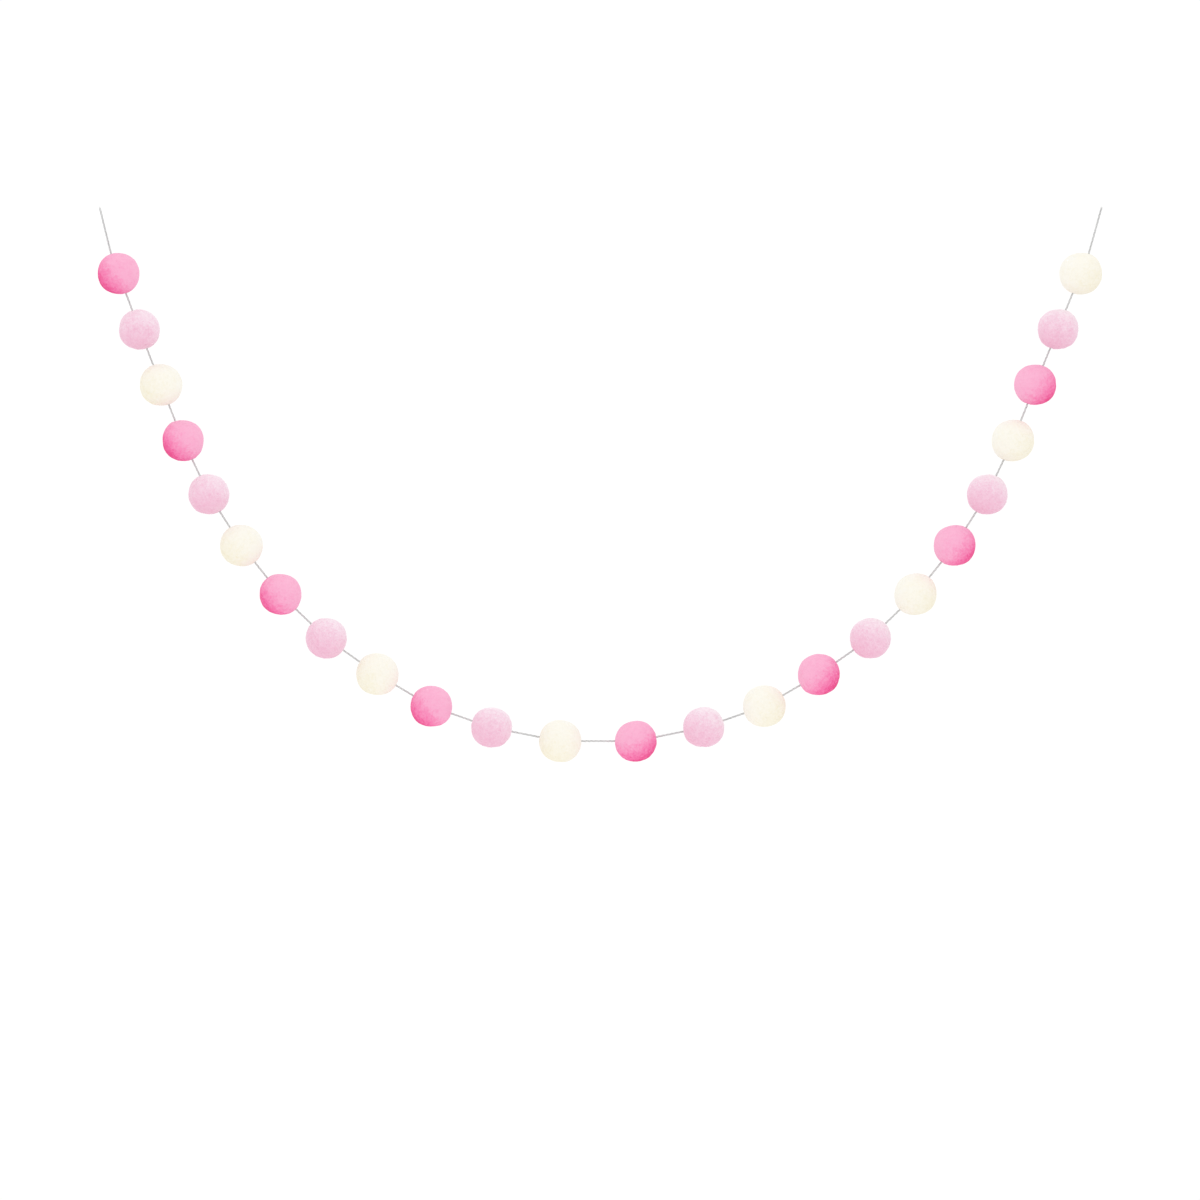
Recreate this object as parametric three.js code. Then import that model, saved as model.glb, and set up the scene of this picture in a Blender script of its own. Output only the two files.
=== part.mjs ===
// Felt ball garland: 24 wool felt balls in three colours, threaded on one twisted cord that
// hangs in a U between its two bare ends. Millimetres, +Z up. The origin is the left end of
// the cord, +X runs level towards the right end, and the garland hangs in the XZ plane.

import * as THREE from 'three';

// ---- driving dimensions ----

const CORD_DIAMETER = 1.2; // twisted cotton cord
const CORD_SIDES = 8;
const STEPS_PER_LINK = 2; // rings along each straight length of cord
const BORE_DIAMETER = 2.1; // the needle's hole, left 0.4 mm clear of the cord all round
const ROUND_SEGMENTS = 16; // facets round a ball's bore
const POLE_SEGMENTS = 9; // facets from one mouth of the bore to the other
// How far hand rolling leaves the balls out of round, as shares of their radius. All of them are a
// little flat above and below, and full at the outer shoulder and the inner foot, and each has
// lumps of its own besides.
const FLATTENED = 0.011;
const TILTED = -0.008;
const SQUARED = -0.011;
const SKEWED = 0.003;
const LUMP = 0.007;

// The colours repeat in this order from the left end. Wool of each colour felts to its own size.
const COLOURS = [
  { name: 'hot_pink', diameter: 25.2, colour: 0xfb9fc8, roughness: 0.94 },
  { name: 'light_pink', diameter: 24.7, colour: 0xf6ccdf, roughness: 0.97 },
  { name: 'cream', diameter: 25.7, colour: 0xfaf3e2, roughness: 0.96 },
];
const CORD_FINISH = { colour: 0xc9c8c6, roughness: 0.85 };

// Both halves of the hanging line, from the ends down to the middle. The first row is the free
// end, which stops at the skin of the outermost ball, and every other row is the link from one
// ball's centre to the next. Slopes are in degrees from level.
const HALVES = [
  { left: 28.1, leftSlope: 76.2, right: 28.3, rightSlope: 74.4 },
  { left: 36.0, leftSlope: 69.4, right: 36.3, rightSlope: 67.9 },
  { left: 35.8, leftSlope: 68.9, right: 36.1, rightSlope: 67.6 },
  { left: 35.9, leftSlope: 68.2, right: 36.1, rightSlope: 68.2 },
  { left: 35.9, leftSlope: 64.5, right: 35.8, rightSlope: 64.6 },
  { left: 36.7, leftSlope: 57.4, right: 36.7, rightSlope: 57.5 },
  { left: 37.5, leftSlope: 51.5, right: 37.6, rightSlope: 51.3 },
  { left: 38.2, leftSlope: 43.7, right: 37.9, rightSlope: 44.1 },
  { left: 37.6, leftSlope: 35.2, right: 38.0, rightSlope: 35.1 },
  { left: 38.0, leftSlope: 30.7, right: 38.0, rightSlope: 30.2 },
  { left: 38.3, leftSlope: 19.5, right: 38.5, rightSlope: 19.3 },
  { left: 42.1, leftSlope: 11.0, right: 41.8, rightSlope: 11.5 },
];
const MIDDLE_LINK = { length: 45.5, slope: 0.1 };
const BALL_COUNT = 2 * HALVES.length;

// ---- the hanging line ----

const radians = THREE.MathUtils.degToRad;

// A step along the line: right by the cosine of the slope, and down by its sine.
function stepFrom(point, length, slope) {
  return new THREE.Vector3(
    point.x + length * Math.cos(radians(slope)),
    0,
    point.z - length * Math.sin(radians(slope)),
  );
}

// The links in walking order, left to right. On the right half the line climbs.
function linksInOrder() {
  const [, ...rows] = HALVES;
  const down = rows.map((row) => ({ length: row.left, slope: row.leftSlope }));
  const up = rows.map((row) => ({ length: row.right, slope: -row.rightSlope })).reverse();
  return [...down, MIDDLE_LINK, ...up];
}

// Walks the whole line, giving the balls with the slopes at which the cord enters and leaves
// them, and the corners of the cord.
function hangingLine() {
  const links = linksInOrder();
  const [freeEnds] = HALVES;
  const balls = [];
  const corners = [new THREE.Vector3()];
  let here = stepFrom(corners[0], freeEnds.left, freeEnds.leftSlope);
  corners.push(here);
  let slope = links[0].slope;
  here = stepFrom(here, COLOURS[0].diameter / 2, slope);
  for (let i = 0; i <= links.length; i += 1) {
    const wool = COLOURS[i % COLOURS.length];
    const link = links[i] ?? { length: wool.diameter / 2, slope };
    balls.push({ index: i, wool, centre: here, slopeIn: slope, slopeOut: link.slope });
    corners.push(here);
    slope = link.slope;
    here = stepFrom(here, link.length, slope);
  }
  corners.push(here, stepFrom(here, freeEnds.right, -freeEnds.rightSlope));
  return { balls, corners };
}

// ---- a felt ball ----

// A number from 0 to 1 that is different for each ball and each use.
function share(ball, use) {
  return ((ball + 1) * 0.6180339887 + (use + 1) * 0.7548776662 * (ball + 2)) % 1;
}

// The shape that the balls share, as a share of the radius in one direction. The right half of
// the garland mirrors the left.
function rolledShape(direction, ball) {
  const inward = ball < BALL_COUNT / 2 ? direction.x : -direction.x;
  const wide = inward ** 2 - direction.z ** 2;
  const slant = 2 * inward * direction.z;
  const square = wide ** 2 - slant ** 2;
  return FLATTENED * wide + TILTED * slant + SQUARED * square + SKEWED * 2 * wide * slant;
}

// How far out of round a ball is in one direction: the shared shape, then two soft swells and
// one finer one, each turned its own way on each ball.
function swell(direction, ball) {
  let sum = 0;
  for (let wave = 0; wave < 3; wave += 1) {
    const turn = 2 * Math.PI * share(ball, 3 * wave);
    const rise = 2 * share(ball, 3 * wave + 1) - 1;
    const flat = Math.sqrt(1 - rise * rise);
    const along = new THREE.Vector3(flat * Math.cos(turn), flat * Math.sin(turn), rise);
    const phase = 2 * Math.PI * share(ball, 3 * wave + 2);
    sum += (Math.sin((2.2 + 1.1 * wave) * direction.dot(along) + phase)) / (1 + 0.5 * wave);
  }
  return rolledShape(direction, ball) + LUMP * sum;
}

// A closed ring of revolution about +Y: the skin from one mouth of the bore to the other, then
// back up the bore. It is then swelled, and its bore, which keeps its width, bent to follow the
// cord.
function ballGeometry(ball, turned) {
  const radius = ball.wool.diameter / 2;
  const bore = BORE_DIAMETER / 2;
  const mouth = Math.asin(bore / radius);
  const profile = [];
  for (let i = 0; i <= POLE_SEGMENTS; i += 1) {
    const angle = mouth + ((Math.PI - 2 * mouth) * i) / POLE_SEGMENTS;
    profile.push(new THREE.Vector2(radius * Math.sin(angle), -radius * Math.cos(angle)));
  }
  profile.push(new THREE.Vector2(bore, 0), profile[0].clone());
  const geometry = new THREE.LatheGeometry(profile, ROUND_SEGMENTS);

  const bend = Math.tan(radians(ball.slopeIn - ball.slopeOut) / 2);
  const places = geometry.getAttribute('position');
  const point = new THREE.Vector3();
  for (let i = 0; i < places.count; i += 1) {
    point.fromBufferAttribute(places, i);
    const direction = point.clone().applyQuaternion(turned).normalize();
    const growth = 1 + swell(direction, ball.index);
    if (Math.hypot(point.x, point.z) < 1.2 * bore) {
      point.y *= growth;
      point.x -= Math.abs(point.y) * bend;
    } else {
      point.multiplyScalar(growth);
    }
    places.setXYZ(i, point.x, point.y, point.z);
  }
  return geometry;
}

function ballMesh(ball) {
  const finish = { color: ball.wool.colour, roughness: ball.wool.roughness, metalness: 0 };
  // Stood upright about X, then swung about Y until the bore lies along the cord.
  const slope = (ball.slopeIn + ball.slopeOut) / 2;
  const rotation = new THREE.Euler(Math.PI / 2, radians(90 + slope), 0, 'YXZ');
  const turned = new THREE.Quaternion().setFromEuler(rotation);
  const mesh = new THREE.Mesh(
    ballGeometry(ball, turned),
    new THREE.MeshStandardMaterial(finish),
  );
  mesh.name = `ball_${String(ball.index + 1).padStart(2, '0')}_${ball.wool.name}`;
  mesh.rotation.copy(rotation);
  mesh.position.copy(ball.centre);
  return mesh;
}

// ---- the cord ----

// The cord's line: straight from corner to corner, with the same number of rings on each length.
class CornerPath extends THREE.Curve {
  constructor(corners) {
    super();
    this.corners = corners;
  }

  getPoint(t, target = new THREE.Vector3()) {
    const lengths = this.corners.length - 1;
    const at = Math.min(Math.max(t, 0), 1) * lengths;
    const i = Math.min(Math.floor(at), lengths - 1);
    return target.lerpVectors(this.corners[i], this.corners[i + 1], at - i);
  }

  // Rings fall on the corners, not at equal distances.
  getUtoTmapping(u) {
    return u;
  }
}

function cordMesh(corners) {
  const section = new THREE.Shape(
    Array.from({ length: CORD_SIDES }, (_, i) => {
      const angle = (2 * Math.PI * (i + 0.5)) / CORD_SIDES;
      return new THREE.Vector2(Math.cos(angle), Math.sin(angle)).multiplyScalar(CORD_DIAMETER / 2);
    }),
  );
  const geometry = new THREE.ExtrudeGeometry(section, {
    steps: STEPS_PER_LINK * (corners.length - 1),
    extrudePath: new CornerPath(corners),
  });
  const finish = { color: CORD_FINISH.colour, roughness: CORD_FINISH.roughness, metalness: 0 };
  const mesh = new THREE.Mesh(geometry, new THREE.MeshStandardMaterial(finish));
  mesh.name = 'cord';
  return mesh;
}

// ---- the garland ----

const line = hangingLine();
const garland = new THREE.Group();
garland.name = 'felt_ball_garland';
garland.add(cordMesh(line.corners));
for (const ball of line.balls) garland.add(ballMesh(ball));

export default garland;
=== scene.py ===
"""Felt ball garland: the looks. Wool felt balls with matted fibre and short pile, on a twisted cord.

Everything is in metres in the row frame: the left end of the cord is the origin, +X runs to the
right end, +Z is up, and the garland hangs in the XZ plane.
"""

import math

import bpy
import numpy as np
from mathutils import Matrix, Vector


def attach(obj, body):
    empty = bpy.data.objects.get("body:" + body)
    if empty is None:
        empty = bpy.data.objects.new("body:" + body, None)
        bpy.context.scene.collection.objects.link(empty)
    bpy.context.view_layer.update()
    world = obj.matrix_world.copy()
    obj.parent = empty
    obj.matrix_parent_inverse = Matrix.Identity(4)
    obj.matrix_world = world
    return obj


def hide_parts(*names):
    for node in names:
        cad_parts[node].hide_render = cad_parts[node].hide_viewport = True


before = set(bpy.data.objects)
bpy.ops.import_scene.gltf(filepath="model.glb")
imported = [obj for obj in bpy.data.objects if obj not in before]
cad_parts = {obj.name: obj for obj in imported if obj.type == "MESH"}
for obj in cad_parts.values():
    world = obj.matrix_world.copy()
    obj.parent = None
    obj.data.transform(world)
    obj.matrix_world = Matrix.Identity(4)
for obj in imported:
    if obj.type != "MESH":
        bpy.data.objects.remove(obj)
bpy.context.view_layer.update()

MM = 0.001

# ---------------------------------------------------------------- the hanging line

# The route of part.mjs in millimetres and degrees: from each end down to the middle, a row for
# the free end, which stops at the outermost ball's skin, then one for each link between centres.
HALVES = [
    # left, slope, right, slope
    (28.1, 76.2, 28.3, 74.4),
    (36.0, 69.4, 36.3, 67.9),
    (35.8, 68.9, 36.1, 67.6),
    (35.9, 68.2, 36.1, 68.2),
    (35.9, 64.5, 35.8, 64.6),
    (36.7, 57.4, 36.7, 57.5),
    (37.5, 51.5, 37.6, 51.3),
    (38.2, 43.7, 37.9, 44.1),
    (37.6, 35.2, 38.0, 35.1),
    (38.0, 30.7, 38.0, 30.2),
    (38.3, 19.5, 38.5, 19.3),
    (42.1, 11.0, 41.8, 11.5),
]
MIDDLE_LINK = (45.5, 0.1)
BALLS = 24
# How far hand rolling leaves the balls out of round, as shares of their radius: the shape that all
# of them share, as in part.mjs, and then the lumps of each.
FLATTENED, TILTED, SQUARED, SKEWED = 0.011, -0.008, -0.011, 0.003
LUMP = 0.007
PITCH_MM = 8.1  # one whole turn of the cord's plies

# Each wool: its name, the size of the solid, and of the felt under the pile. lumpy scales the
# hand-rolled unevenness, pile is how far the longest hairs stand out, hairs is how many stand and
# lying how many lie in the felt, and pale how much paler than the felt the hairs are coloured: partly
# their own paler wool, partly painted light that lifts the shade among them.
WOOLS = [
    dict(name="hot_pink", solid=25.2, felt=25.06, lumpy=1.0, pile=0.34, hairs=1500, lying=200, pale=0.14),
    dict(name="light_pink", solid=24.7, felt=24.48, lumpy=1.35, pile=0.74, hairs=3700, lying=90, pale=0.38),
    dict(name="cream", solid=25.7, felt=25.58, lumpy=0.9, pile=0.34, hairs=1500, lying=200, pale=0.14),
]


def step_from(point, length, slope):
    a = math.radians(slope)
    return (point[0] + length * math.cos(a), point[1] - length * math.sin(a))


def hanging_line():
    """Ball centres, the slopes at which the cord enters and leaves each, and the cord's corners."""
    down = [(row[0], row[1]) for row in HALVES[1:]]
    up = [(row[2], -row[3]) for row in reversed(HALVES[1:])]
    links = [*down, MIDDLE_LINK, *up]
    corners = [(0.0, 0.0)]
    here = step_from(corners[0], HALVES[0][0], HALVES[0][1])
    corners.append(here)
    slope = links[0][1]
    here = step_from(here, WOOLS[0]["solid"] / 2, slope)
    balls = []
    for i in range(BALLS):
        length, out = links[i] if i < len(links) else (WOOLS[i % 3]["solid"] / 2, slope)
        balls.append(dict(index=i, wool=WOOLS[i % 3], centre=here, slope_in=slope, slope_out=out))
        corners.append(here)
        slope = out
        here = step_from(here, length, slope)
    corners.append(here)
    corners.append(step_from(here, HALVES[0][2], -HALVES[0][3]))
    return balls, corners


balls, corners = hanging_line()

# ---------------------------------------------------------------- camera

# Straight on to the plane that the garland hangs in, with a long lens.
PIXEL_MM = 0.602
LEFT_END_PX = (100.0, 208.7)
FRAME_PX = 1200
DISTANCE = 6.0

lens_data = bpy.data.cameras.new("camera")
lens_data.sensor_width = 36.0
lens_data.lens = 36.0 * DISTANCE / (FRAME_PX * PIXEL_MM * MM)
lens_data.clip_start, lens_data.clip_end = 0.1, 100.0
camera = bpy.data.objects.new("camera", lens_data)
bpy.context.scene.collection.objects.link(camera)
AIM = Vector(
    (
        (FRAME_PX / 2 - LEFT_END_PX[0]) * PIXEL_MM * MM,
        0.0,
        -(FRAME_PX / 2 - LEFT_END_PX[1]) * PIXEL_MM * MM,
    )
)
camera.location = AIM + Vector((0, -DISTANCE, 0))
camera.rotation_euler = (math.pi / 2, 0, 0)
bpy.context.scene.camera = camera

# ---------------------------------------------------------------- small tools


def new_mesh(name, points, triangles, smooth=None, laid=None, **values):
    """A triangle mesh from arrays, in metres, with per-point values as attributes. smooth is how
    many triangles, from the first, are shaded smooth: hairs are too few-sided for it. laid is where
    each triangle's corners lie on a flat sheet."""
    mesh = bpy.data.meshes.new(name)
    points = np.asarray(points, np.float32)
    triangles = np.asarray(triangles, np.int32)
    mesh.vertices.add(len(points))
    mesh.vertices.foreach_set("co", points.ravel())
    mesh.loops.add(3 * len(triangles))
    mesh.loops.foreach_set("vertex_index", triangles.ravel())
    mesh.polygons.add(len(triangles))
    mesh.polygons.foreach_set("loop_start", np.arange(0, 3 * len(triangles), 3, dtype=np.int32))
    rounded = np.arange(len(triangles)) < (len(triangles) if smooth is None else smooth)
    mesh.polygons.foreach_set("use_smooth", rounded)
    mesh.update(calc_edges=True)
    if laid is not None:
        sheet = mesh.uv_layers.new(name="OFBake", do_init=False)
        sheet.uv.foreach_set("vector", np.asarray(laid, np.float32).ravel())
    for key, value in values.items():
        value = np.asarray(value, np.float32)
        kind = "FLOAT" if value.ndim == 1 else "FLOAT_VECTOR"
        slot = mesh.attributes.new(key, kind, "POINT")
        slot.data.foreach_set("value" if value.ndim == 1 else "vector", value.ravel())
    obj = bpy.data.objects.new(name, mesh)
    bpy.context.scene.collection.objects.link(obj)
    return obj


def unit(v):
    return v / np.maximum(np.linalg.norm(v, axis=-1, keepdims=True), 1e-12)


def lattice(i, j, k, which):
    """A repeatable number from -1 to 1 for each lattice corner."""
    m = np.uint64(0xFFFFFFFF)
    h = (
        i.astype(np.uint64) * np.uint64(374761393)
        + j.astype(np.uint64) * np.uint64(668265263)
        + k.astype(np.uint64) * np.uint64(2246822519)
        + np.uint64(which) * np.uint64(3266489917)
    ) & m
    h = ((h ^ (h >> np.uint64(13))) * np.uint64(1274126177)) & m
    h = ((h ^ (h >> np.uint64(16))) * np.uint64(2654435761)) & m
    return (h ^ (h >> np.uint64(15))).astype(np.float64) / 2147483648.0 - 1.0


def ripple(points, wavelength):
    """Gradient noise from about -1 to 1 at points in millimetres."""
    p = points / wavelength + 4096.0
    base = np.floor(p)
    f = p - base
    base = base.astype(np.int64)
    w = f * f * f * (f * (f * 6 - 15) + 10)
    total = np.zeros(len(p))
    for dx in (0, 1):
        for dy in (0, 1):
            for dz in (0, 1):
                at = (base[:, 0] + dx, base[:, 1] + dy, base[:, 2] + dz)
                slope = sum(lattice(*at, 11 + n) * (f[:, n] - d) for n, d in enumerate((dx, dy, dz)))
                share = 1.0
                for n, d in enumerate((dx, dy, dz)):
                    share = share * (w[:, n] if d else 1 - w[:, n])
                total += share * slope
    return 1.4 * total


def share_of(ball, use):
    return ((ball + 1) * 0.6180339887 + (use + 1) * 0.7548776662 * (ball + 2)) % 1


def swell(directions, ball):
    """The solid's own out-of-round shape, as in part.mjs."""
    total = np.zeros(len(directions))
    for wave in range(3):
        turn = 2 * math.pi * share_of(ball, 3 * wave)
        rise = 2 * share_of(ball, 3 * wave + 1) - 1
        flat = math.sqrt(1 - rise * rise)
        along = np.array([flat * math.cos(turn), flat * math.sin(turn), rise])
        phase = 2 * math.pi * share_of(ball, 3 * wave + 2)
        total += np.sin((2.2 + 1.1 * wave) * (directions @ along) + phase) / (1 + 0.5 * wave)
    inward = directions[:, 0] * (1 if ball < BALLS / 2 else -1)
    wide = inward**2 - directions[:, 2] ** 2
    slant = 2 * inward * directions[:, 2]
    shared = FLATTENED * wide + TILTED * slant
    shared += SQUARED * (wide**2 - slant**2) + SKEWED * 2 * wide * slant
    return shared + LUMP * total


def mouths(ball):
    """The directions from a ball's centre to where the cord enters and leaves it."""
    a, b = math.radians(ball["slope_in"]), math.radians(ball["slope_out"])
    return (
        np.array([-math.cos(a), 0.0, math.sin(a)]),
        np.array([math.cos(b), 0.0, -math.sin(b)]),
    )


def felt_surface(directions, ball):
    """Points of a ball's felt, in millimetres from its centre, for unit directions, and how
    raised the tufts are there, from about -1 in a crease to 1."""
    wool = ball["wool"]
    radius = wool["felt"] / 2
    here = directions * radius + 97.0 * (ball["index"] + 1) * np.array([1.0, 0.37, -0.61])
    warp = np.stack([ripple(here + 31.0 * n, 3.1) for n in (1, 2, 3)], axis=1)
    rolled = 0.15 * ripple(here, 7.0) + 0.10 * ripple(here + 17.0, 3.4)
    tufts = ripple(here + 0.8 * warp + 53.0, 1.55)
    creases = 0.5 - 2.2 * np.abs(ripple(here + 1.1 * warp + 71.0, 2.3))
    height = wool["lumpy"] * (rolled + 0.085 * tufts - 0.050 * creases)
    for mouth in mouths(ball):
        away = radius * np.linalg.norm(directions - mouth, axis=1)
        height += 0.07 * np.exp(-(((away - 2.0) / 0.7) ** 2))
        height -= 0.22 * np.exp(-((away / 1.3) ** 2)) + 1.3 * np.exp(-((away / 0.75) ** 2))
    points = directions * (radius * (1 + swell(directions, ball["index"])) + height)[:, None]
    return points, tufts - 0.6 * creases


def geodesic(frequency):
    """A unit sphere of 20 x frequency^2 even triangles, and the corners of each on a sheet: two of
    the 20 sides to a cell, four cells to a row, and room for two cells left at the top right."""
    g = (1 + math.sqrt(5)) / 2
    tops = unit(
        np.array(
            [(-1, g, 0), (1, g, 0), (-1, -g, 0), (1, -g, 0), (0, -1, g), (0, 1, g)]
            + [(0, -1, -g), (0, 1, -g), (g, 0, -1), (g, 0, 1), (-g, 0, -1), (-g, 0, 1)],
            float,
        )
    )
    sides = [(0, 11, 5), (0, 5, 1), (0, 1, 7), (0, 7, 10), (0, 10, 11), (1, 5, 9), (5, 11, 4)]
    sides += [(11, 10, 2), (10, 7, 6), (7, 1, 8), (3, 9, 4), (3, 4, 2), (3, 2, 6), (3, 6, 8)]
    sides += [(3, 8, 9), (4, 9, 5), (2, 4, 11), (6, 2, 10), (8, 6, 7), (9, 8, 1)]
    points, triangles, laid = [], [], []
    for side, (a, b, c) in enumerate(sides):
        start, rows = len(points), {}
        for i in range(frequency + 1):
            for j in range(frequency + 1 - i):
                rows[i, j] = start + len(rows)
                k = frequency - i - j
                points.append((tops[a] * k + tops[b] * i + tops[c] * j) / frequency)
        for i in range(frequency):
            for j in range(frequency - i):
                flat = [[(i, j), (i + 1, j), (i, j + 1)]]
                if i + j < frequency - 1:
                    flat.append([(i + 1, j), (i + 1, j + 1), (i, j + 1)])
                triangles += [[rows[corner] for corner in face] for face in flat]
                laid += flat
        part = np.array(laid[-(frequency**2) :], float) / frequency * 0.955 + 0.01
        cell = divmod(side // 2, 4)
        laid[-(frequency**2) :] = list((part if side % 2 else 1 - part) / (4, 3) + (cell[1] / 4, cell[0] / 3))
    points = unit(np.array(points))
    _, first, back = np.unique(
        np.round(points, 6), axis=0, return_index=True, return_inverse=True
    )
    return points[first], back.ravel()[np.array(triangles)], np.array(laid)


def strands(lines, thick, normals, cells):
    """Closed tapered hairs, three-sided, on polylines of K points each: (N, K, 3), in any unit. On
    the sheet each hair fills a cell of its own, root and tip in opposite corners, its sides stacked."""
    n, k, _ = lines.shape
    along = np.empty_like(lines)
    along[:, 1:-1] = lines[:, 2:] - lines[:, :-2]
    along[:, 0], along[:, -1] = lines[:, 1] - lines[:, 0], lines[:, -1] - lines[:, -2]
    along = unit(along)
    side = unit(np.cross(along, normals))
    up = np.cross(side, along)
    rings = k - 2
    angles = np.arange(3) * 2 * math.pi / 3
    body = (
        lines[:, 1:-1, None]
        + thick[:, None, None, None]
        * (
            np.cos(angles)[None, None, :, None] * up[:, 1:-1, None]
            + np.sin(angles)[None, None, :, None] * side[:, 1:-1, None]
        )
    ).reshape(n, rings * 3, 3)
    points = np.concatenate([lines[:, :1], body, lines[:, -1:]], axis=1)
    tip = 1 + 3 * rings
    faces = []
    for j in range(3):
        q = (j + 1) % 3
        faces.append((0, 1 + q, 1 + j))
        for r in range(rings - 1):
            a, b = 1 + 3 * r + j, 1 + 3 * r + q
            faces += [(a, b, b + 3), (a, b + 3, a + 3)]
        last = 1 + 3 * (rings - 1)
        faces.append((last + j, last + q, tip))
    faces = np.array(faces)
    triangles = (faces[None] + (np.arange(n) * (tip + 1))[:, None, None]).reshape(-1, 3)
    far = 2 * (np.arange(rings) + 1) / (rings + 1)
    left = np.stack([np.maximum(far - 1, 0), np.minimum(far, 1)], axis=1)
    flat = []
    for j in range(3):
        flat.append([(0, 0), left[0][::-1], left[0]])
        for r in range(rings - 1):
            a, b, c, d = left[r], left[r][::-1], left[r + 1][::-1], left[r + 1]
            flat += [[a, b, c], [a, c, d]]
        flat.append([left[-1], left[-1][::-1], (1, 1)])
    corner, size = cells
    laid = corner[:, None, None] + np.array(flat, float).reshape(-1, 3, 2)[None] * size
    return points.reshape(-1, 3), triangles, tip + 1, laid.reshape(-1, 3, 2)


def cells_on_sheet(spots, low, high):
    """A cell for each hair between two corners of the sheet, by height and then across, so that
    cells side by side hold hairs that lie near each other: their corners and their size."""
    wide, tall = high[0] - low[0], high[1] - low[1]
    columns = math.ceil(math.sqrt(len(spots) * wide / tall))
    rows = math.ceil(len(spots) / columns)
    size = np.array([wide / columns, tall / rows])
    by_height = np.argsort(spots[:, 2], kind="stable")
    corners = np.empty((len(spots), 2))
    for row in range(rows):
        these = by_height[row * columns : (row + 1) * columns]
        these = these[np.argsort(np.arctan2(spots[these, 1], spots[these, 0]), kind="stable")]
        corners[these] = np.stack([np.arange(len(these)), np.full(len(these), row)], 1) * size + low
    return corners, size


# ---------------------------------------------------------------- materials


def linear(srgb):
    return [((c / 255 + 0.055) / 1.055) ** 2.4 if c > 10 else c / 255 / 12.92 for c in srgb]


class Nodes:
    """A short way to write a node tree."""

    def __init__(self, material):
        self.tree = material.node_tree
        self.tree.nodes.clear()

    def add(self, kind, **settings):
        node = self.tree.nodes.new(kind)
        for key, value in settings.items():
            if key in node.inputs:
                self.put(value, node.inputs[key])
            else:
                setattr(node, key, value)
        return node

    def put(self, value, socket):
        if isinstance(value, bpy.types.NodeSocket):
            self.tree.links.new(value, socket)
        else:
            socket.default_value = value

    def math(self, operation, *values, clamp=False):
        node = self.add("ShaderNodeMath", operation=operation, use_clamp=clamp)
        for socket, value in zip(node.inputs, values):
            self.put(value, socket)
        return node.outputs[0]

    def vector(self, operation, *values):
        node = self.add("ShaderNodeVectorMath", operation=operation)
        for socket, value in zip(node.inputs, values):
            self.put(value, socket)
        return node.outputs["Value" if operation == "DOT_PRODUCT" else "Vector"]

    def noise(self, place, scale, detail=2.0, distortion=0.0, roughness=0.5):
        node = self.add("ShaderNodeTexNoise", Scale=scale, Detail=detail, Distortion=distortion)
        node.inputs["Roughness"].default_value = roughness
        self.put(place, node.inputs["Vector"])
        return node.outputs["Fac"]

    def ramp(self, factor, stops):
        node = self.add("ShaderNodeValToRGB")
        self.put(factor, node.inputs["Fac"])
        band = node.color_ramp
        while len(band.elements) > 1:
            band.elements.remove(band.elements[-1])
        band.elements[0].position, band.elements[0].color = stops[0][0], (*stops[0][1], 1)
        for at, colour in stops[1:]:
            band.elements.new(at).color = (*colour, 1)
        return node.outputs["Color"]


def new_material(name):
    material = bpy.data.materials.new(name)
    material.use_nodes = True
    return material


# Each wool's colours, from its deepest to its palest: the same wool painted in shade underneath,
# on the side away from the painted light and in the creases, and painted lit where the ball faces
# the painted light above. lean is how far that painted light stands from straight up, in degrees:
# None is towards the garland's middle from both sides, and reach is how strongly it counts. rim is a
# painted rim shade, deeper round the edge below zero and paler above it, as the garland hangs, and
# tufts is how much paler raised tufts and deeper creases are painted. clouds, wisps and grain say how
# much each size of mottling counts, and a deeper colour is mixed in between the wisps.
WOOL_LOOKS = {
    "hot_pink": dict(
        colours=[
            (0.00, (226, 46, 120)),
            (0.12, (241, 84, 150)),
            (0.24, (248, 125, 178)),
            (0.35, (250, 149, 192)),
            (0.50, (251, 176, 209)),
            (0.70, (251, 182, 212)),
            (1.00, (252, 189, 216)),
        ],
        deep_between_wisps=(247, 128, 182),
        deep_between_wisps_share=0.14,
        lean=None,
        reach=0.36,
        rim=-0.08,
        clouds=0.075,
        wisps=0.19,
        grain=0.14,
        tufts=0.045,
        sheen=0.08,
        sheen_tint=(1.0, 0.97, 0.98),
    ),
    "light_pink": dict(
        colours=[
            (0.00, (241, 179, 206)),
            (0.22, (243, 190, 213)),
            (0.50, (246, 204, 223)),
            (0.76, (248, 221, 234)),
            (1.00, (251, 236, 243)),
        ],
        deep_between_wisps=(238, 172, 202),
        deep_between_wisps_share=0.17,
        lean=15.0,
        reach=0.38,
        rim=0.09,
        clouds=0.12,
        wisps=0.33,
        grain=0.42,
        tufts=0.08,
        sheen=0.30,
        sheen_tint=(1.0, 0.98, 0.99),
    ),
    "cream": dict(
        colours=[
            (0.00, (244, 234, 206)),
            (0.20, (249, 243, 223)),
            (0.50, (252, 248, 236)),
            (0.78, (252, 249, 239)),
            (1.00, (252, 250, 245)),
        ],
        deep_between_wisps=(246, 238, 212),
        deep_between_wisps_share=0.22,
        lean=None,
        reach=0.32,
        rim=0.0,
        clouds=0.16,
        wisps=0.30,
        grain=0.20,
        tufts=0.06,
        sheen=0.12,
        sheen_tint=(0.99, 1.0, 0.98),
    ),
}
LIT = 1.03  # the studio's light on the middle of a ball, beside 1 for plain white


def lit(srgb):
    return [min(0.98, c / LIT) for c in linear(srgb)]


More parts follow.
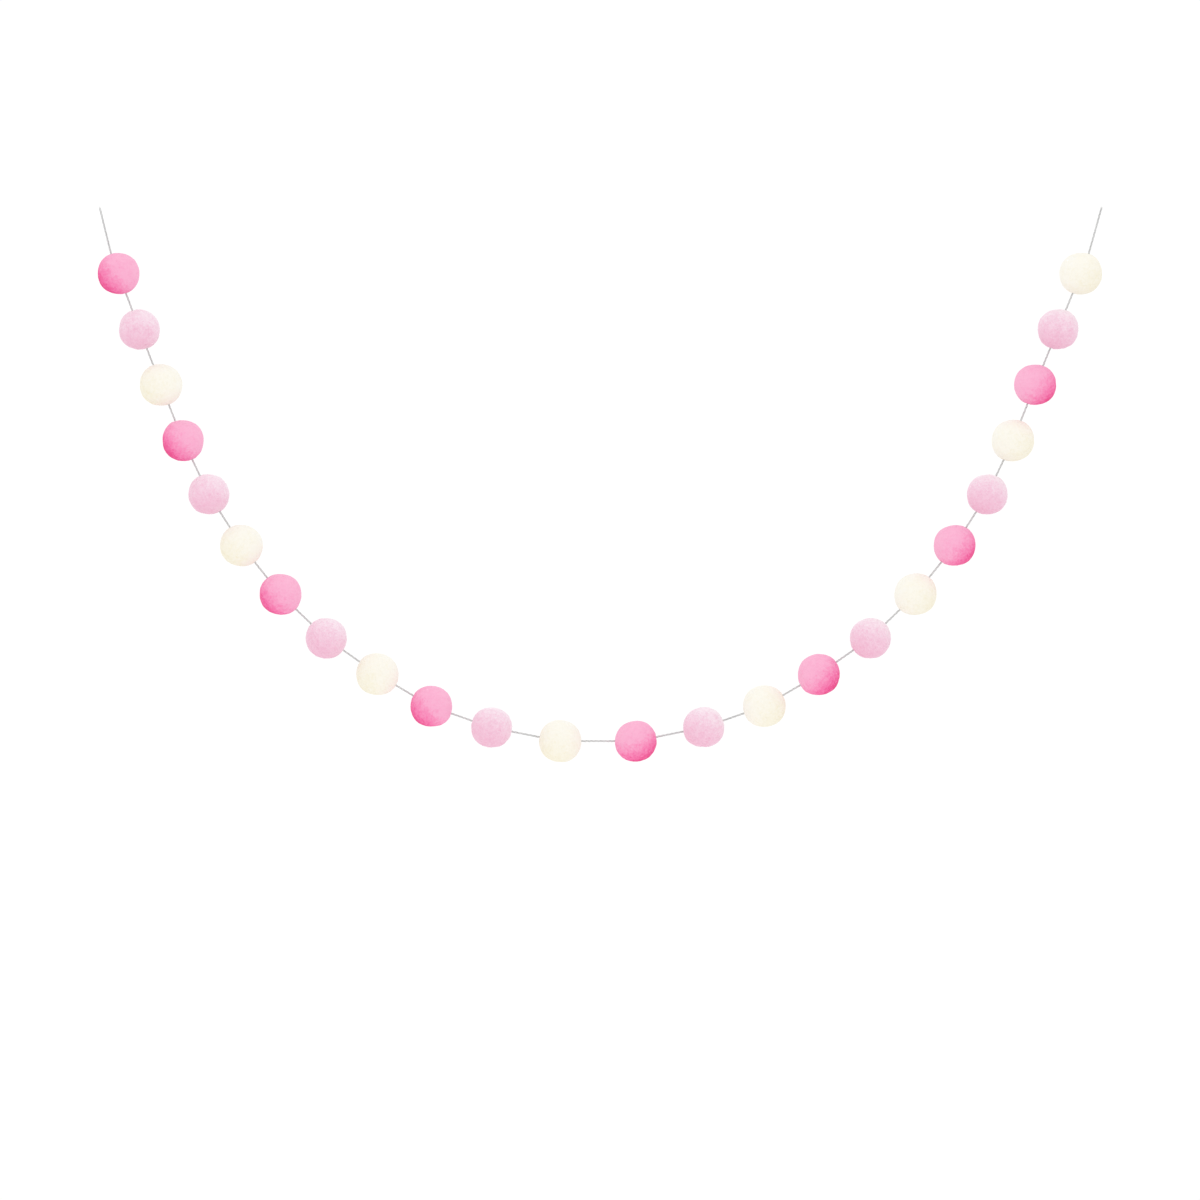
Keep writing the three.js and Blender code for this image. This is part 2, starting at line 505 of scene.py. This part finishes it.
def felt_material(wool):
    looks = WOOL_LOOKS[wool]
    material = new_material("felt_" + wool)
    t = Nodes(material)
    place = t.add("ShaderNodeTexCoord").outputs["Object"]
    outward = t.add("ShaderNodeAttribute", attribute_name="outward").outputs["Vector"]
    tone = t.add("ShaderNodeAttribute", attribute_name="tone").outputs["Fac"]
    tuft = t.add("ShaderNodeAttribute", attribute_name="tuft").outputs["Fac"]

    # Painted light and shade: which way the painted light comes from, in the plane that the garland
    # hangs in. The side of each ball that faces it is painted paler, the side away from it deeper.
    if looks["lean"] is None:
        part = t.add("ShaderNodeSeparateXYZ")
        t.put(place, part.inputs[0])
        lean = t.math("DIVIDE", t.math("SUBTRACT", 0.301, part.outputs["X"]), 0.045)
        lean = t.math("MINIMUM", t.math("MAXIMUM", lean, -1.0), 1.0)
        lean = t.math("MULTIPLY", lean, math.radians(48))
    else:
        lean = math.radians(looks["lean"])
    light = t.add("ShaderNodeCombineXYZ", X=t.math("SINE", lean), Y=0.0, Z=t.math("COSINE", lean))
    faces_painted_light = t.vector("DOT_PRODUCT", outward, light.outputs[0])

    # Matted wool: soft clouds a few millimetres across, wisps about one across, and grain.
    warp = t.add("ShaderNodeTexNoise", Scale=900.0, Detail=2.0)
    t.put(place, warp.inputs["Vector"])
    bent = t.vector("SUBTRACT", warp.outputs["Color"], (0.5, 0.5, 0.5))
    bent = t.vector("ADD", place, t.vector("MULTIPLY", bent, (0.0014,) * 3))
    clouds = t.noise(place, 240.0, 2.0)
    wisps = t.noise(bent, 820.0, 3.0, 0.8, 0.6)
    grain = t.noise(bent, 3300.0, 2.0, 0.0, 0.6)

    # The ramp's place: painted light and shade by which way the felt faces, plus the wool's own mottling.
    painted_light_and_mottling = t.math("ADD", t.math("MULTIPLY", faces_painted_light, looks["reach"]), 0.5)
    for value, by in ((clouds, 2.2 * looks["clouds"]), (wisps, 2.2 * looks["wisps"]), (grain, 2.2 * looks["grain"])):
        painted_light_and_mottling = t.math("ADD", painted_light_and_mottling, t.math("MULTIPLY", t.math("SUBTRACT", value, 0.5), by))
    # Painted shade: deeper in the creases, paler on the raised tufts.
    painted_light_and_mottling = t.math("ADD", painted_light_and_mottling, t.math("MULTIPLY", tuft, looks["tufts"]))
    painted_light_and_mottling = t.math("ADD", painted_light_and_mottling, tone)
    # Painted rim shade: deeper round the hot pink balls' edges and paler round the light pink ones', as seen straight
    # on to the garland's plane.
    sides = t.add("ShaderNodeSeparateXYZ")
    t.put(outward, sides.inputs[0])
    painted_rim = t.math("SUBTRACT", 1.0, t.math("MULTIPLY", sides.outputs["Y"], sides.outputs["Y"]))
    painted_rim = t.math("MULTIPLY", t.math("MULTIPLY", painted_rim, painted_rim), looks["rim"])
    painted_light_and_mottling = t.math("ADD", painted_light_and_mottling, painted_rim)
    colour = t.ramp(painted_light_and_mottling, [(at, lit(colour)) for at, colour in looks["colours"]])
    # A deeper colour, mixed in where the wisps and clouds are low.
    gaps = t.math("ADD", t.math("MULTIPLY", wisps, 0.65), t.math("MULTIPLY", clouds, 0.35))
    between = t.add("ShaderNodeMapRange", interpolation_type="SMOOTHSTEP")
    t.put(gaps, between.inputs["Value"])
    for socket, value in (("From Min", 0.53), ("From Max", 0.36), ("To Max", looks["deep_between_wisps_share"])):
        between.inputs[socket].default_value = value
    mixed = t.add("ShaderNodeMixRGB", Color1=colour, Color2=(*lit(looks["deep_between_wisps"]), 1.0))
    t.put(between.outputs["Result"], mixed.inputs["Fac"])
    colour = mixed.outputs["Color"]

    lift = t.math("ADD", wisps, t.math("MULTIPLY", grain, 0.45))
    bump = t.add("ShaderNodeBump", Strength=0.6, Distance=0.00022)
    t.put(lift, bump.inputs["Height"])

    shader = t.add("ShaderNodeBsdfPrincipled")
    t.put(colour, shader.inputs["Base Color"])
    t.put(bump.outputs["Normal"], shader.inputs["Normal"])
    t.put(t.math("ADD", 0.86, t.math("MULTIPLY", grain, 0.14)), shader.inputs["Roughness"])
    shader.inputs["Specular IOR Level"].default_value = 0.06
    shader.inputs["Sheen Weight"].default_value = looks["sheen"]
    shader.inputs["Sheen Roughness"].default_value = 0.6
    shader.inputs["Sheen Tint"].default_value = (*looks["sheen_tint"], 1.0)
    out = t.add("ShaderNodeOutputMaterial")
    t.put(shader.outputs[0], out.inputs["Surface"])
    return material


def cord_material():
    """Spun cotton: each ply shows the slanting lines of its own yarn, under a little down."""
    material = new_material("twisted_cord")
    t = Nodes(material)
    lay = t.add("ShaderNodeAttribute", attribute_name="lay").outputs["Vector"]
    part = t.add("ShaderNodeSeparateXYZ")
    t.put(lay, part.inputs[0])
    place = t.add("ShaderNodeTexCoord").outputs["Object"]
    round_it = t.math("ARCTAN2", part.outputs["Y"], part.outputs["X"])
    fluff = t.noise(place, 3200.0, 3.0, 0.8, 0.6)
    run = t.math("MULTIPLY", part.outputs["Z"], 2 * math.pi / 1.3)
    angle = t.math("ADD", t.math("MULTIPLY", round_it, 8.0), run)
    angle = t.math("ADD", angle, t.math("MULTIPLY", fluff, 2.2))
    yarn = t.math("ADD", t.math("MULTIPLY", t.math("SINE", angle), 0.5), 0.5)
    worn = t.noise(place, 120.0, 2.0)
    height = t.math("ADD", t.math("MULTIPLY", yarn, 0.75), t.math("MULTIPLY", fluff, 0.6))
    # Painted shade: the ply is coloured darker where its yarn and down lie low, in the grooves between the slanting
    # lines.
    shade = t.math("ADD", t.math("MULTIPLY", height, 0.55), t.math("MULTIPLY", worn, 0.35))
    colour = t.ramp(shade, [(0.15, lit((178, 178, 180))), (0.50, lit((219, 219, 219))), (0.90, lit((240, 240, 238)))])
    bump = t.add("ShaderNodeBump", Strength=0.7, Distance=0.0001)
    t.put(height, bump.inputs["Height"])
    shader = t.add("ShaderNodeBsdfPrincipled")
    t.put(colour, shader.inputs["Base Color"])
    t.put(bump.outputs["Normal"], shader.inputs["Normal"])
    t.put(t.math("ADD", 0.72, t.math("MULTIPLY", fluff, 0.2)), shader.inputs["Roughness"])
    shader.inputs["Specular IOR Level"].default_value = 0.2
    shader.inputs["Sheen Weight"].default_value = 0.15
    shader.inputs["Sheen Roughness"].default_value = 0.6
    out = t.add("ShaderNodeOutputMaterial")
    t.put(shader.outputs[0], out.inputs["Surface"])
    return material


# ---------------------------------------------------------------- the cord

PLIES = 3
PLY_OUT = 0.332  # from the cord's line to a ply's own line, in millimetres
PLY_RADIAL, PLY_ROUND = 0.298, 0.330  # a ply's half thickness outwards, and round the cord
PLY_SIDES = 8


def cord_line(step=0.1):
    """The cord's line as points at even steps, in millimetres, its corners eased inside the balls."""
    at = np.array([(x, 0.0, z) for x, z in corners])
    runs = [at[:1]]
    ends = []
    for i in range(len(at) - 1):
        ease_in = 0.0 if i == 0 else (3.0 if i in (1, len(at) - 2) else 5.0)
        ease_out = 0.0 if i == len(at) - 2 else (3.0 if i + 1 in (1, len(at) - 2) else 5.0)
        way = unit(at[i + 1] - at[i])
        ends.append((at[i] + way * ease_in, at[i + 1] - way * ease_out))
    runs = []
    for i, (a, b) in enumerate(ends):
        n = max(2, int(np.linalg.norm(b - a) / step))
        runs.append(a + (b - a) * np.linspace(0, 1, n)[:, None])
        if i < len(ends) - 1:
            c, d = at[i + 1], ends[i + 1][0]
            t = np.linspace(0, 1, 60)[1:-1, None]
            runs.append((1 - t) ** 2 * b + 2 * t * (1 - t) * c + t**2 * d)
    line = np.concatenate(runs)
    far = np.concatenate([[0], np.cumsum(np.linalg.norm(np.diff(line, axis=0), axis=1))])
    keep = np.concatenate([[True], np.diff(far) > 1e-9])
    return line[keep], far[keep]


line, along = cord_line()
LENGTH_MM = along[-1]


def on_cord(s):
    return np.stack([np.interp(s, along, line[:, n]) for n in range(3)], axis=1)


def ring_places():
    """Where a ply's rings fall along the cord: close together in sight, far apart in the balls."""
    centres = np.array([(b["centre"][0], 0.0, b["centre"][1]) for b in balls])
    radii = np.array([b["wool"]["felt"] / 2 for b in balls])
    s, places = 0.0, []
    while s < LENGTH_MM:
        places.append(s)
        here = on_cord(np.array([s]))[0]
        deep = (radii - np.linalg.norm(centres - here, axis=1)).max()
        s += 1.35 if deep > 2.4 else 0.34
    if LENGTH_MM - places[-1] < 0.1:
        places.pop()
    return np.array([*places, LENGTH_MM])


def make_cord(material):
    s = ring_places()

    def ply_line(which, where):
        centre = on_cord(where)
        ahead = unit(on_cord(np.minimum(where + 0.4, LENGTH_MM)) - on_cord(np.maximum(where - 0.4, 0)))
        across = np.cross(ahead, np.array([0.0, 1.0, 0.0]))
        turn = 2 * math.pi * (where / PITCH_MM + np.asarray(which) / PLIES)
        turn = turn + 0.25 * np.sin(where / 9.1) + 0.18 * np.sin(where / 3.7 + 1.0)
        out = np.cos(turn)[:, None] * np.array([0.0, 1.0, 0.0]) + np.sin(turn)[:, None] * across
        return centre + PLY_OUT * out, out

    # On the sheet each ply is unrolled and cut into lengths, one to a row, with the caps above.
    cut = math.ceil((len(s) - 1) / 7)
    row_high, row_wide = 0.84 / (7 * PLIES), 0.992
    points, triangles, lays, laid = [], [], [], []
    for which in range(PLIES):
        middle, out = ply_line(which, s)
        before, _ = ply_line(which, np.maximum(s - 0.05, 0))
        after, _ = ply_line(which, np.minimum(s + 0.05, LENGTH_MM))
        way = unit(after - before)
        outward = unit(out - (out * way).sum(1, keepdims=True) * way)
        aside = np.cross(way, outward)
        plump = 1 + 0.05 * ripple(np.stack([s, 0 * s + 40 * which, 0 * s], axis=1), 1.7)
        start = sum(len(p) for p in points)
        angles = np.arange(PLY_SIDES) * 2 * math.pi / PLY_SIDES
        ring = middle[:, None] + plump[:, None, None] * (
            PLY_RADIAL * np.cos(angles)[None, :, None] * outward[:, None]
            + PLY_ROUND * np.sin(angles)[None, :, None] * aside[:, None]
        )
        points.append(ring.reshape(-1, 3))
        lays.append(
            np.stack(
                [
                    np.tile(np.cos(angles), len(s)),
                    np.tile(np.sin(angles), len(s)),
                    np.repeat(s, PLY_SIDES),
                ],
                axis=1,
            )
        )
        i, j = np.meshgrid(np.arange(len(s) - 1), np.arange(PLY_SIDES), indexing="ij")
        q = (j + 1) % PLY_SIDES
        a, b = start + i * PLY_SIDES + j, start + i * PLY_SIDES + q
        c, d = b + PLY_SIDES, a + PLY_SIDES
        triangles.append(np.stack([a, b, c], -1).reshape(-1, 3))
        triangles.append(np.stack([a, c, d], -1).reshape(-1, 3))
        row, start_u = 7 * which + i // cut, i % cut
        u = [0.004 + row_wide * (start_u + n) / cut for n in (0, 1)]
        v = [row_high * (row + 0.97 - 0.94 * (j + n) / PLY_SIDES) for n in (0, 1)]
        a, b, c, d = (np.stack(at, -1) for at in ((u[0], v[0]), (u[0], v[1]), (u[1], v[1]), (u[1], v[0])))
        laid.append(np.stack([a, b, c], -2).reshape(-1, 3, 2))
        laid.append(np.stack([a, c, d], -2).reshape(-1, 3, 2))
        # The cut ends: a low dome of yarn on each.
        for end, sign in ((0, -1), (len(s) - 1, 1)):
            tip = sum(len(p) for p in points)
            points.append((middle[end] + sign * 0.10 * way[end])[None])
            lays.append(np.array([[1.0, 0.0, s[end]]]))
            rim = start + end * PLY_SIDES + np.arange(PLY_SIDES)
            nxt = start + end * PLY_SIDES + (np.arange(PLY_SIDES) + 1) % PLY_SIDES
            fan = (nxt, rim) if sign < 0 else (rim, nxt)
            triangles.append(np.stack([*fan, np.full(PLY_SIDES, tip)], -1))
            hub = np.array([0.03 + 0.05 * which + 0.5 * (end > 0), 0.865])
            spoke = np.stack([np.cos(angles), sign * np.sin(angles)], -1) * 0.02
            turned_spoke = np.roll(spoke, -1, axis=0)
            pair = (turned_spoke, spoke) if sign < 0 else (spoke, turned_spoke)
            laid.append(np.stack([hub + pair[0], hub + pair[1], np.broadcast_to(hub, (PLY_SIDES, 2))], 1))

    # Down: short cotton hairs lying along the plies wherever the cord shows, and the frayed cuts.
    rng = np.random.default_rng(5)
    centres = np.array([(b["centre"][0], 0.0, b["centre"][1]) for b in balls])
    radii = np.array([b["wool"]["felt"] / 2 for b in balls])
    where = rng.uniform(0.6, LENGTH_MM - 3.0, 5200)
    shown = np.array(
        [(np.linalg.norm(centres - p, axis=1) - radii).min() > -0.3 for p in on_cord(where)]
    )
    where = where[shown][:1900]
    which = rng.integers(0, PLIES, len(where))
    spin = rng.uniform(0, 2 * math.pi, len(where))
    length = rng.uniform(0.5, 1.7, len(where))
    lean = rng.uniform(-0.6, 0.6, len(where))
    lift = rng.uniform(0.03, 0.75, len(where)) ** 1.4
    lines = []
    for k in range(3):
        f = k / 2
        at_s = where + f * length
        middle, _ = ply_line(which, at_s)
        ahead = unit(on_cord(at_s + 0.2) - on_cord(at_s - 0.2))
        across = np.cross(ahead, np.array([0.0, 1.0, 0.0]))
        angle = spin + lean * f * 2.0
        out = np.cos(angle)[:, None] * np.array([0.0, 1.0, 0.0]) + np.sin(angle)[:, None] * across
        rise = PLY_RADIAL - 0.05 + lift * f**1.2
        lines.append(middle + rise[:, None] * out)
    hair_lines = np.stack(lines, axis=1)
    # The two cuts, where the yarns of each ply spread a little.
    frays = []
    for end, sign in ((0.0, -1), (LENGTH_MM, 1)):
        for which_ply in range(PLIES):
            base, _ = ply_line(which_ply, np.array([end]))
            way = unit(on_cord(np.array([max(end, 0.5)])) - on_cord(np.array([max(end, 0.5) - 0.5])))[0]
            side, deep = np.cross(way, [0.0, 1.0, 0.0]), np.array([0.0, 1.0, 0.0])
            for _ in range(16):
                angle, reach = rng.uniform(0, 2 * math.pi), rng.uniform(0.03, 0.26)
                off = math.cos(angle) * side + math.sin(angle) * deep
                aside = math.cos(angle + 1.6) * side + math.sin(angle + 1.6) * deep
                long, splay, curl = rng.uniform(0.3, 1.5), rng.uniform(0.0, 0.5), rng.normal(0, 0.16)
                frays.append(
                    [
                        base[0] + reach * off - sign * 0.4 * way,
                        base[0] + (reach + 0.05) * off + sign * way * long * 0.3,
                        base[0] + (reach + 0.4 * splay) * off + curl * aside + sign * way * long * 0.7,
                        base[0] + (reach + splay) * off + 0.6 * curl * aside + sign * way * long,
                    ]
                )
    frays = np.array(frays)
    plies_end = sum(len(t) for t in triangles)
    for lines_, thick, room in (
        (hair_lines, 0.022, ((0.004, 0.894), (0.996, 0.975))),
        (frays, 0.034, ((0.004, 0.98), (0.996, 0.996))),
    ):
        start = sum(len(p) for p in points)
        facing = np.broadcast_to(np.array([0.12, 1.0, 0.08]), lines_.shape)
        cells = cells_on_sheet(lines_[:, 0], *room)
        pts, tris, _, flat = strands(lines_, np.full(len(lines_), thick), facing, cells)
        points.append(pts)
        laid.append(flat)
        triangles.append(tris + start)
        lays.append(np.tile([1.0, 0.0, 0.0], (len(pts), 1)))

    cord = new_mesh(
        "cord_twisted",
        np.concatenate(points) * MM,
        np.concatenate(triangles),
        smooth=plies_end,
        laid=np.concatenate(laid),
        lay=np.concatenate(lays),
    )
    cord.data.materials.append(material)
    return cord


cord = make_cord(cord_material())
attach(cord, "root")
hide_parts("cord")

# ---------------------------------------------------------------- the balls

SPHERE, SPHERE_FACES, SPHERE_LAID = geodesic(32)


def turned(ball, seed):
    """A repeatable turn for each ball, so that no two share a grid."""
    rng = np.random.default_rng(seed + ball)
    q = unit(rng.normal(size=4))
    w, x, y, z = q
    return np.array(
        [
            [1 - 2 * (y * y + z * z), 2 * (x * y - z * w), 2 * (x * z + y * w)],
            [2 * (x * y + z * w), 1 - 2 * (x * x + z * z), 2 * (y * z - x * w)],
            [2 * (x * z - y * w), 2 * (y * z + x * w), 1 - 2 * (x * x + y * y)],
        ]
    )


def hair_lines(ball, rng, count, points_each, long, sunk, lift, curl):
    """Hairs along a ball's skin: (N, K, 3) in millimetres from its centre, and its normals."""
    radius = ball["wool"]["felt"] / 2
    start = unit(rng.normal(size=(count * 2, 3)))
    clear = np.ones(len(start), bool)
    for mouth in mouths(ball):
        clear &= radius * np.linalg.norm(start - mouth, axis=1) > 1.5
    start = start[clear][:count]
    count = len(start)
    way = unit(np.cross(start, unit(rng.normal(size=(count, 3)))))
    length = rng.uniform(*long, count)
    bend = rng.normal(0, curl, count)
    rise = rng.uniform(*lift, count)
    at = start.copy()
    spots, heights = [], []
    for k in range(points_each):
        f = k / (points_each - 1)
        spots.append(at.copy())
        heights.append(sunk(f, rise))
        side = np.cross(at, way)
        way = unit(way + side * (bend / (points_each - 1))[:, None])
        at = unit(at + way * (length / radius / (points_each - 1))[:, None])
        way = unit(way - (way * at).sum(1, keepdims=True) * at)
    spots = np.stack(spots, axis=1)
    skin, tuft = felt_surface(spots.reshape(-1, 3), ball)
    skin = skin.reshape(spots.shape)
    lines = skin + spots * np.stack(heights, axis=1)[:, :, None]
    return lines, spots, tuft.reshape(spots.shape[:2]).mean(axis=1)


def make_ball(ball, material):
    wool, number = ball["wool"], ball["index"]
    rng = np.random.default_rng(1000 + number)
    shade = rng.normal(0, 0.015)
    directions = SPHERE @ turned(number, 300).T
    body, tuft = felt_surface(directions, ball)
    points, triangles, laid = [body], [SPHERE_FACES], [SPHERE_LAID]
    tones, tufts, outward = [np.full(len(body), shade)], [tuft], [directions]

    # Matted fibre: curved hairs that lie on the skin, both tips pushed into it.
    lying = hair_lines(
        ball, rng, wool["lying"], 5, (1.3, 3.4),
        lambda f, rise: -0.06 + (0.06 + rise) * math.sin(math.pi * f) ** 0.7,
        (0.00, 0.04 + 0.03 * wool["lumpy"]), 0.9,
    )
    # Pile: short hairs with one tip free.
    standing = hair_lines(
        ball, rng, wool["hairs"], 3, (0.25, 0.25 + 1.9 * wool["pile"]),
        lambda f, rise: -0.06 + (0.06 + rise) * f**1.3,
        (0.06, wool["pile"]), 0.9,
    )
    roots = np.concatenate([lying[1][:, 2], standing[1][:, 1]])
    cells = cells_on_sheet(roots, (0.505, 0.672), (0.995, 0.995))
    for (lines, facing, raised), thick, taken in (
        (lying, (0.012, 0.022), slice(0, len(lying[0]))),
        (standing, (0.013, 0.024), slice(len(lying[0]), None)),
    ):
        start = sum(len(p) for p in points)
        widths = rng.uniform(*thick, len(lines))
        pts, tris, each, flat = strands(lines, widths, facing, (cells[0][taken], cells[1]))
        points.append(pts)
        laid.append(flat)
        triangles.append(tris + start)
        # The hairs' tone: paler than the felt by pale, partly their own paler wool and partly painted light against
        # the shade among them.
        tones.append(np.repeat(shade + rng.normal(wool["pale"], 0.06, len(lines)), each))
        tufts.append(np.repeat(raised, each))
        outward.append(np.repeat(facing[:, len(facing[0]) // 2], each, axis=0))

    middle = np.array([ball["centre"][0], 0.0, ball["centre"][1]])
    name = f"ball_{number + 1:02d}_{wool['name']}"
    piece = new_mesh(
        name + "_felt",
        (np.concatenate(points) + middle) * MM,
        np.concatenate(triangles),
        smooth=len(SPHERE_FACES),
        laid=np.concatenate(laid),
        tone=np.concatenate(tones),
        tuft=np.concatenate(tufts),
        outward=np.concatenate(outward),
    )
    piece.data.materials.append(material)
    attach(piece, "root")
    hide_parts(name)
    return piece


wools = {w["name"]: felt_material(w["name"]) for w in WOOLS}
for ball in balls:
    make_ball(ball, wools[ball["wool"]["name"]])

# ---------------------------------------------------------------- floor and light


FLOOR = dict(left=-3.8, right=7.0, near=-7.0, far=3.6, low=-1.0)


def make_floor():
    """A plain pale floor well below the garland. It fades out towards its edges, and its far edges
    stay out of a level view."""
    f = FLOOR
    points = [(x, y, f["low"]) for y in (f["near"], f["far"]) for x in (f["left"], f["right"])]
    floor = new_mesh("floor", points, [(0, 1, 3), (0, 3, 2)])
    material = new_material("floor")
    t = Nodes(material)
    place = t.add("ShaderNodeTexCoord").outputs["Object"]
    part = t.add("ShaderNodeSeparateXYZ")
    t.put(place, part.inputs[0])
    x, y = part.outputs["X"], part.outputs["Y"]
    inside = t.math("MINIMUM", t.math("SUBTRACT", x, f["left"]), t.math("SUBTRACT", f["right"], x))
    inside = t.math("MINIMUM", inside, t.math("SUBTRACT", y, f["near"]))
    inside = t.math("MINIMUM", inside, t.math("SUBTRACT", f["far"], y))
    solid = t.add("ShaderNodeMapRange", interpolation_type="SMOOTHSTEP")
    t.put(inside, solid.inputs["Value"])
    solid.inputs["From Min"].default_value, solid.inputs["From Max"].default_value = 0.0, 1.3
    colour = t.ramp(
        t.noise(place, 1.5, 3.0), [(0.3, (0.882, 0.882, 0.882)), (0.7, (0.89, 0.89, 0.89))]
    )
    shader = t.add("ShaderNodeBsdfPrincipled")
    t.put(colour, shader.inputs["Base Color"])
    t.put(solid.outputs["Result"], shader.inputs["Alpha"])
    shader.inputs["Roughness"].default_value = 0.9
    shader.inputs["Specular IOR Level"].default_value = 0.0
    out = t.add("ShaderNodeOutputMaterial")
    t.put(shader.outputs[0], out.inputs["Surface"])
    floor.data.materials.append(material)


def make_lamp(name, place, size, power, up=False):
    """A soft box that faces the garland, or straight up."""
    data = bpy.data.lights.new(name, "AREA")
    data.shape, data.energy = "RECTANGLE", power
    data.size, data.size_y = size
    lamp = bpy.data.objects.new(name, data)
    bpy.context.scene.collection.objects.link(lamp)
    lamp.location = place
    aim = Vector((0, 0, 1)) if up else AIM - Vector(place)
    lamp.rotation_euler = aim.to_track_quat("-Z", "Y").to_euler()
    lamp.visible_camera = False


make_floor()
# A soft box on the camera's side, one behind, and a faint low one that lifts the undersides.
make_lamp("softbox_front", (0.301, -2.2, 0.35), (1.6, 1.6), 2.2)
make_lamp("softbox_back", (0.301, 2.2, 0.35), (1.6, 1.6), 2.0)
make_lamp("lift", (0.301, 0.0, -0.98), (1.6, 0.8), 0.85, up=True)

world = bpy.data.worlds.new("studio")
bpy.context.scene.world = world
world.use_nodes = True
background = world.node_tree.nodes["Background"]
background.inputs["Color"].default_value = (1.0, 1.0, 1.0, 1.0)
background.inputs["Strength"].default_value = 1.04
bpy.context.scene.view_settings.view_transform = "Standard"
bpy.context.scene.view_settings.look = "None"
